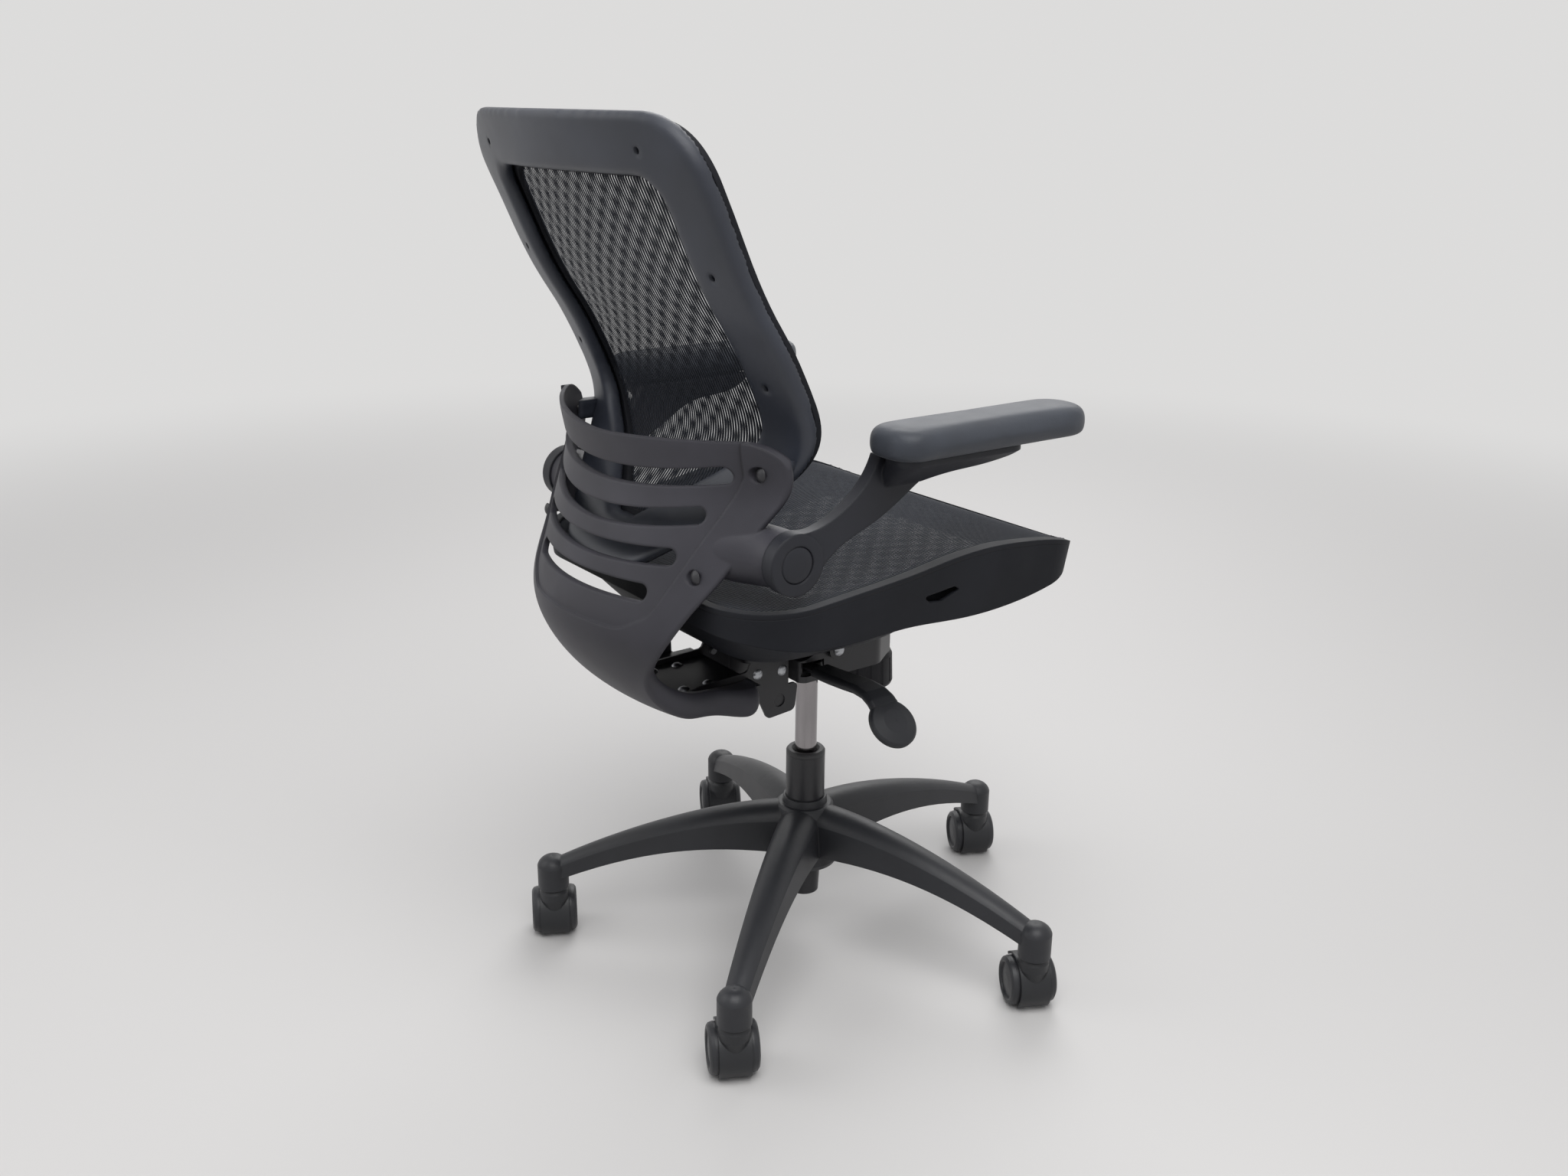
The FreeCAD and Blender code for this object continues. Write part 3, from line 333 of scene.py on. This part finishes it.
def padSkin(name, color):
    finish, tree, shader = newFinish(name)
    place = objectPlace(tree)
    clouds = noise(tree, place, skinSet["cloudScale"], detail=3.0)
    tree.links.new(ramp(tree, clouds, shades(color, skinSet["cloud"])), shader.inputs["Base Color"])
    scuffs = noise(tree, place, skinSet["wearScale"], detail=3.0)
    tree.links.new(span(tree, scuffs, *skinSet["rough"]), shader.inputs["Roughness"])
    cells = tree.nodes.new("ShaderNodeTexVoronoi")
    cells.inputs["Scale"].default_value = skinSet["cellScale"]
    tree.links.new(place, cells.inputs["Vector"])
    grain = bump(tree, cells.outputs["Distance"], skinSet["cellDepth"])
    tree.links.new(grain.outputs["Normal"], shader.inputs["Normal"])
    shader.inputs["Sheen Weight"].default_value = skinSet["fuzz"]
    return finish


finishes = {
    "base_plastic": mouldedPlastic("blackNylon", (0.024, 0.025, 0.029), 0.42),
    "caster_plastic": mouldedPlastic("casterNylon", (0.022, 0.023, 0.026), 0.40),
    "wheel_plastic": mouldedPlastic("wheelNylon", (0.028, 0.029, 0.033), 0.38),
    "sleeve_plastic": mouldedPlastic("sleeveNylon", (0.045, 0.045, 0.047), 0.45),
    # column: darker partly by its own black paint and partly as painted shade under the seat
    "column_paint": paintedSteel("columnCoat", (0.016, 0.016, 0.019), 0.36),
    # chrome: colour kept well below real chrome, a painted darker reflection
    "chrome": bareMetal("polishedChrome", (0.29, 0.275, 0.28), 0.14, (1.0, 1.0, 0.2)),
    "steel": bareMetal("turnedSteel", (0.48, 0.48, 0.49), 0.32, (1.0, 1.0, 8.0)),
    "zinc_bolts": bareMetal("zincBolt", (0.42, 0.43, 0.45), 0.34, (1.0, 1.0, 1.0)),
    "mech_paint": paintedSteel("mechCoat", (0.016, 0.016, 0.019), 0.40),
    "lever_plastic": mouldedPlastic("leverPlastic", (0.022, 0.023, 0.027), 0.46, gloss=0.34),
    # seat frame and edge ring: darker than the shell and frame plastic, partly their own colour and partly
    # painted shade for their down-turned sides
    "seat_plastic": mouldedPlastic("seatPlasticPaintedShade", (0.012, 0.013, 0.017), 0.62, edge=0.003, gloss=0.20),
    "carrier_plastic": mouldedPlastic("edgePlasticPaintedShade", (0.014, 0.015, 0.019), 0.64, edge=0.003, gloss=0.20),
    "frame_plastic": mouldedPlastic("framePlastic", (0.036, 0.041, 0.056), 0.38, edge=0.009, gloss=0.52),
    "shell_plastic": mouldedPlastic("shellPlastic", (0.044, 0.043, 0.053), 0.50, edge=0.004, gloss=0.38),
    # arms: darker than the shell and frame plastic, partly their own colour and partly painted shade for
    # their side away from the light
    "arm_plastic": mouldedPlastic("armPlasticPaintedShade", (0.020, 0.021, 0.027), 0.48, edge=0.004, gloss=0.32),
    "net": wovenYarn("netYarn", (0.015, 0.018, 0.026)),
    "pad_foam": padSkin("padSkin", (0.036, 0.042, 0.055)),
}
ownFinish = {  # nodes that look unlike the rest of their slot
    "shell_bolts": mouldedPlastic("boltCoat", (0.034, 0.034, 0.038), 0.36, grain=2600.0, edge=0.0008),
    # knob under the seat: darker partly by its own colour and partly as painted shade
    "tension_knob": mouldedPlastic("knobPlastic", (0.013, 0.013, 0.016), 0.52, gloss=0.26),
}
slotOf = {part["node"]: part["material_slot"] for part in frame["record"]["subparts"]}
for nodeName, obj in nodes.items():
    obj.data.materials.clear()
    obj.data.materials.append(ownFinish.get(nodeName, finishes[slotOf[nodeName]]))
print("finishes on", len(nodes), "nodes")


# Nets: flat yarns along the sheet, wide where they are drawn together and narrow where the net is open
netScan = 0.0015  # step of the search for a yarn's two ends
netInset = 0.0008  # how far inside those ends the last rows are cast
fewestHits = 4
yarnSides = 4
backNet = {
    "node": "back_mesh", "hit": (0, 1, 0), "start": 0.0,
    "across": (-0.166, 0.166), "along": (0.590, 0.995),
    "pitch": 0.0042, "row": 0.0032, "cell": 0.0126, "thick": 0.0008, "reach": 0.003,
    "open": (0.87, 0.83, 0.83, 0.87), "tied": (0.92, 0.97, 1.00, 0.97),  # shares of the pitch
}
seatNet = {
    "node": "seat_mesh", "hit": (0, 0, -1), "start": 0.8,
    "across": (-0.236, 0.236), "along": (-0.222, 0.255),
    "pitch": 0.0036, "row": 0.0036, "cell": 0.0144, "thick": 0.0010, "reach": 0.003,
    "open": (0.985, 0.97, 0.97, 0.985), "tied": (0.99, 1.00, 1.01, 1.00),
}


def solidTree(node):
    mesh = nodes[node].data
    points = [v.co.copy() for v in mesh.vertices]
    return BVHTree.FromPolygons(points, [tuple(p.vertices) for p in mesh.polygons])


def upright(spec):
    return spec["hit"][1] != 0


def netPoint(tree, spec, u, v):
    way = Vector(spec["hit"])
    start = Vector((u, spec["start"], v)) if upright(spec) else Vector((u, v, spec["start"]))
    place = tree.ray_cast(start, way)[0]
    return None if place is None else place + way * spec["thick"]


def crossWay(tree, spec, u, v):
    ends = [netPoint(tree, spec, u + step, v) for step in (-spec["pitch"], spec["pitch"])]
    return (ends[1] - ends[0]).normalized() if all(ends) else Vector((1, 0, 0))


def netColumn(tree, spec, u):
    low, high = spec["along"]
    count = int((high - low) / netScan)
    hits = [low + (high - low) * i / count for i in range(count + 1)]
    hits = [v for v in hits if netPoint(tree, spec, u, v)]
    if len(hits) < fewestHits:
        return []
    first, last = hits[0], hits[-1]
    rows = []
    k = math.floor((first - spec["reach"]) / spec["row"])
    while k * spec["row"] < last + spec["reach"]:
        v = k * spec["row"]
        inside = min(max(v, first + netInset), last - netInset)
        place = netPoint(tree, spec, u, inside)
        if place:
            beyond = v - inside  # the ends run on into the edge ring
            place = place + (Vector((0, 0, beyond)) if upright(spec) else Vector((0, beyond, 0)))
            rows.append((k, place, crossWay(tree, spec, u, inside)))
        k += 1
    return rows


def yarnWidth(spec, u, k):
    perCell = len(spec["open"])
    column = math.floor(u / spec["cell"])
    cell = k // perCell
    table = spec["open"] if (column + cell) % 2 == 0 else spec["tied"]
    return table[k % perCell] * spec["pitch"]


def addYarn(points, faces, spec, u, rows):
    deep = Vector(spec["hit"]) * (spec["thick"] / 2)
    first = len(points)
    for k, place, across in rows:
        half = across * (yarnWidth(spec, u, k) / 2)
        points += [place - half, place - deep, place + half, place + deep]
    for j in range(len(rows) - 1):
        a = first + yarnSides * j
        b = a + yarnSides
        for s in range(yarnSides):
            t = (s + 1) % yarnSides
            faces.append((a + s, a + t, b + t, b + s))
    if len(rows) > 1:
        last = first + yarnSides * (len(rows) - 1)
        faces.append(tuple(first + s for s in reversed(range(yarnSides))))
        faces.append(tuple(last + s for s in range(yarnSides)))


def makeNet(name, spec):
    tree = solidTree(spec["node"])
    points, faces = [], []
    low, high = spec["across"]
    count = int((high - low) / spec["pitch"])
    for i in range(count + 1):
        u = low + (high - low) * i / count
        addYarn(points, faces, spec, u, netColumn(tree, spec, u))
    mesh = bpy.data.meshes.new(name)
    mesh.from_pydata(points, [], faces)
    net = bpy.data.objects.new(name, mesh)
    scene.collection.objects.link(net)
    only(net)
    bpy.ops.object.mode_set(mode="EDIT")
    bpy.ops.mesh.select_all(action="SELECT")
    bpy.ops.mesh.normals_make_consistent(inside=False)
    bpy.ops.object.mode_set(mode="OBJECT")
    bpy.ops.object.shade_smooth()
    net.data.materials.append(finishes["net"])
    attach(net, "seat_back")
    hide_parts(spec["node"])
    print(name, len(net.data.polygons), "faces")
    return net


backSheet = makeNet("backNet", backNet)
seatSheet = makeNet("seatNet", seatNet)


# Arm pads: moulded foam, swollen a little over its mould
weldGap = 0.00001
padSpec = {"voxel": 0.004, "pressure": 2.0, "frames": 12, "cap": 0.0015, "foot": 0.008, "smooth": 6}


def solidCopy(node, name):
    obj = bpy.data.objects.new(name, nodes[node].data.copy())
    scene.collection.objects.link(obj)
    only(obj)
    bpy.ops.object.mode_set(mode="EDIT")
    bpy.ops.mesh.select_all(action="SELECT")
    bpy.ops.mesh.remove_doubles(threshold=weldGap)
    bpy.ops.mesh.normals_make_consistent(inside=False)
    bpy.ops.object.mode_set(mode="OBJECT")
    return obj


def evenMesh(obj, voxel):
    remesh = obj.modifiers.new("evenMesh", "REMESH")
    remesh.mode = "VOXEL"
    remesh.voxel_size = voxel
    bpy.ops.object.modifier_apply(modifier=remesh.name)


def calmMesh(obj, rounds):
    calm = obj.modifiers.new("calm", "SMOOTH")
    calm.factor = 0.5
    calm.iterations = rounds
    bpy.ops.object.modifier_apply(modifier=calm.name)


def pressOut(obj, spec):
    cloth = obj.modifiers.new("foamSkin", "CLOTH")
    cloth.settings.use_pressure = True
    cloth.settings.uniform_pressure_force = spec["pressure"]
    cloth.settings.effector_weights.gravity = 0.0
    for step in range(1, spec["frames"] + 1):
        scene.frame_set(step)
    bpy.ops.object.modifier_apply(modifier=cloth.name)
    scene.frame_set(1)


def swell(obj, spec):
    evenMesh(obj, spec["voxel"])
    before = [v.co.copy() for v in obj.data.vertices]
    floorZ = min(p.z for p in before)
    pressOut(obj, spec)
    for v, start in zip(obj.data.vertices, before):
        move = v.co - start
        if move.length > spec["cap"]:
            move = move.normalized() * spec["cap"]
        held = min(1.0, max(0.0, (start.z - floorZ) / spec["foot"]))  # flat where it rests on the arm
        v.co = start + move * held
    calmMesh(obj, spec["smooth"])
    fine = obj.modifiers.new("fine", "SUBSURF")
    fine.levels = 1
    fine.render_levels = 1
    bpy.ops.object.modifier_apply(modifier=fine.name)
    bpy.ops.object.shade_smooth()


def foamPad(side, spec):
    node = "arm_pad_" + side
    pad = solidCopy(node, "armPad" + side.title())
    swell(pad, spec)
    pad.data.materials.clear()
    pad.data.materials.append(finishes["pad_foam"])
    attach(pad, "arm_" + side)
    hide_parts(node)
    print(pad.name, len(pad.data.polygons), "faces")


for side in ("right", "left"):
    foamPad(side, padSpec)


# Back frame: the same moulding with its screw holes plugged, its rim rounded over and the holes cut again
rimSpec = {
    "voxel": 0.0022, "smooth": 48, "swell": 0.0024, "front": -0.3, "crease": 50,
    "screws": ((0.152, 1.006), (0.188, 0.891), (0.187, 0.779)),  # distance from the middle, height
    "behind": 0.6, "sides": 24,
    "plug": 0.0052, "plugLow": 0.0229, "plugHigh": 0.0056,  # radius, depth below and above the heads
    "hole": 0.0036, "sink": 0.0028, "reach": 0.030,
}


def screwRods(spec, radius, low, high):
    tree = solidTree("back_screws")
    rods = []
    for x, z in spec["screws"]:
        for place in (-x, x):
            head = tree.ray_cast(Vector((place, spec["behind"], z)), Vector((0, -1, 0)))[0]
            deselect()
            bpy.ops.mesh.primitive_cylinder_add(vertices=spec["sides"], radius=radius, depth=high - low,
                                                location=(place, head.y + (low + high) / 2, z),
                                                rotation=(math.pi / 2, 0, 0))
            rods.append(bpy.context.object)
    return rods


def joined(pieces):
    only(pieces[0])
    for piece in pieces[1:]:
        piece.select_set(True)
    bpy.ops.object.join()
    return bpy.context.object


def roundRim(obj, spec):
    evenMesh(obj, spec["voxel"])
    calmMesh(obj, spec["smooth"])
    outward = [v.normal.copy() for v in obj.data.vertices]
    for v, way in zip(obj.data.vertices, outward):
        if way.y > spec["front"]:  # the front stays on the edge ring
            v.co += way * spec["swell"]


def cutHoles(obj, spec):
    holes = joined(screwRods(spec, spec["hole"], -spec["sink"], spec["reach"]))
    only(obj)
    cut = obj.modifiers.new("screwHoles", "BOOLEAN")
    cut.object = holes
    cut.operation = "DIFFERENCE"
    cut.solver = "FAST"
    bpy.ops.object.modifier_apply(modifier=cut.name)
    bpy.data.objects.remove(holes)


def roundedFrame(spec):
    obj = solidCopy("back_frame", "backFrame")
    obj = joined([obj] + screwRods(spec, spec["plug"], -spec["plugLow"], spec["plugHigh"]))
    roundRim(obj, spec)
    cutHoles(obj, spec)
    only(obj)
    bpy.ops.object.shade_smooth_by_angle(angle=math.radians(spec["crease"]))
    obj.data.materials.clear()
    obj.data.materials.append(finishes["frame_plastic"])
    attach(obj, "seat_back")
    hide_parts("back_frame")
    print("backFrame", len(obj.data.polygons), "faces")


roundedFrame(rimSpec)


# Tilt spring: a wound coil at one fixed length; in the chair it shortens as the seat leans back
coilSpec = {"turns": 5, "radius": 0.0121, "wire": 0.0017, "wireSides": 10, "steps": 28,
            "place": (0.0, -0.090), "low": 0.3945, "high": 0.4275, "top": 0.430, "keep": 0.30}


def woundSpring(spec):
    deselect()
    bpy.ops.mesh.primitive_circle_add(vertices=spec["wireSides"], radius=spec["wire"],
                                      location=(spec["radius"], 0, 0), rotation=(math.pi / 2, 0, 0))
    obj = bpy.context.object
    obj.name = "tiltSpring"
    bpy.ops.object.transform_apply(location=True, rotation=True, scale=True)
    wind = obj.modifiers.new("wind", "SCREW")
    wind.axis = "Z"
    wind.iterations = spec["turns"]
    wind.screw_offset = (spec["high"] - spec["low"] - 2 * spec["wire"]) / spec["turns"]
    wind.steps = spec["steps"]
    wind.render_steps = spec["steps"]
    bpy.ops.object.modifier_apply(modifier=wind.name)
    bpy.ops.object.mode_set(mode="EDIT")
    bpy.ops.mesh.select_all(action="SELECT")
    bpy.ops.mesh.remove_doubles(threshold=weldGap)
    bpy.ops.mesh.fill_holes(sides=0)
    bpy.ops.mesh.normals_make_consistent(inside=False)
    bpy.ops.mesh.select_all(action="SELECT")
    bpy.ops.transform.translate(value=(*spec["place"], spec["low"] + spec["wire"]))
    bpy.ops.object.mode_set(mode="OBJECT")
    bpy.ops.object.shade_smooth()
    obj.data.materials.append(finishes[slotOf["tilt_spring"]])
    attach(obj, "lift")
    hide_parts("tilt_spring")
    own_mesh(obj)
    print("tiltSpring", len(obj.data.polygons), "faces")


woundSpring(coilSpec)
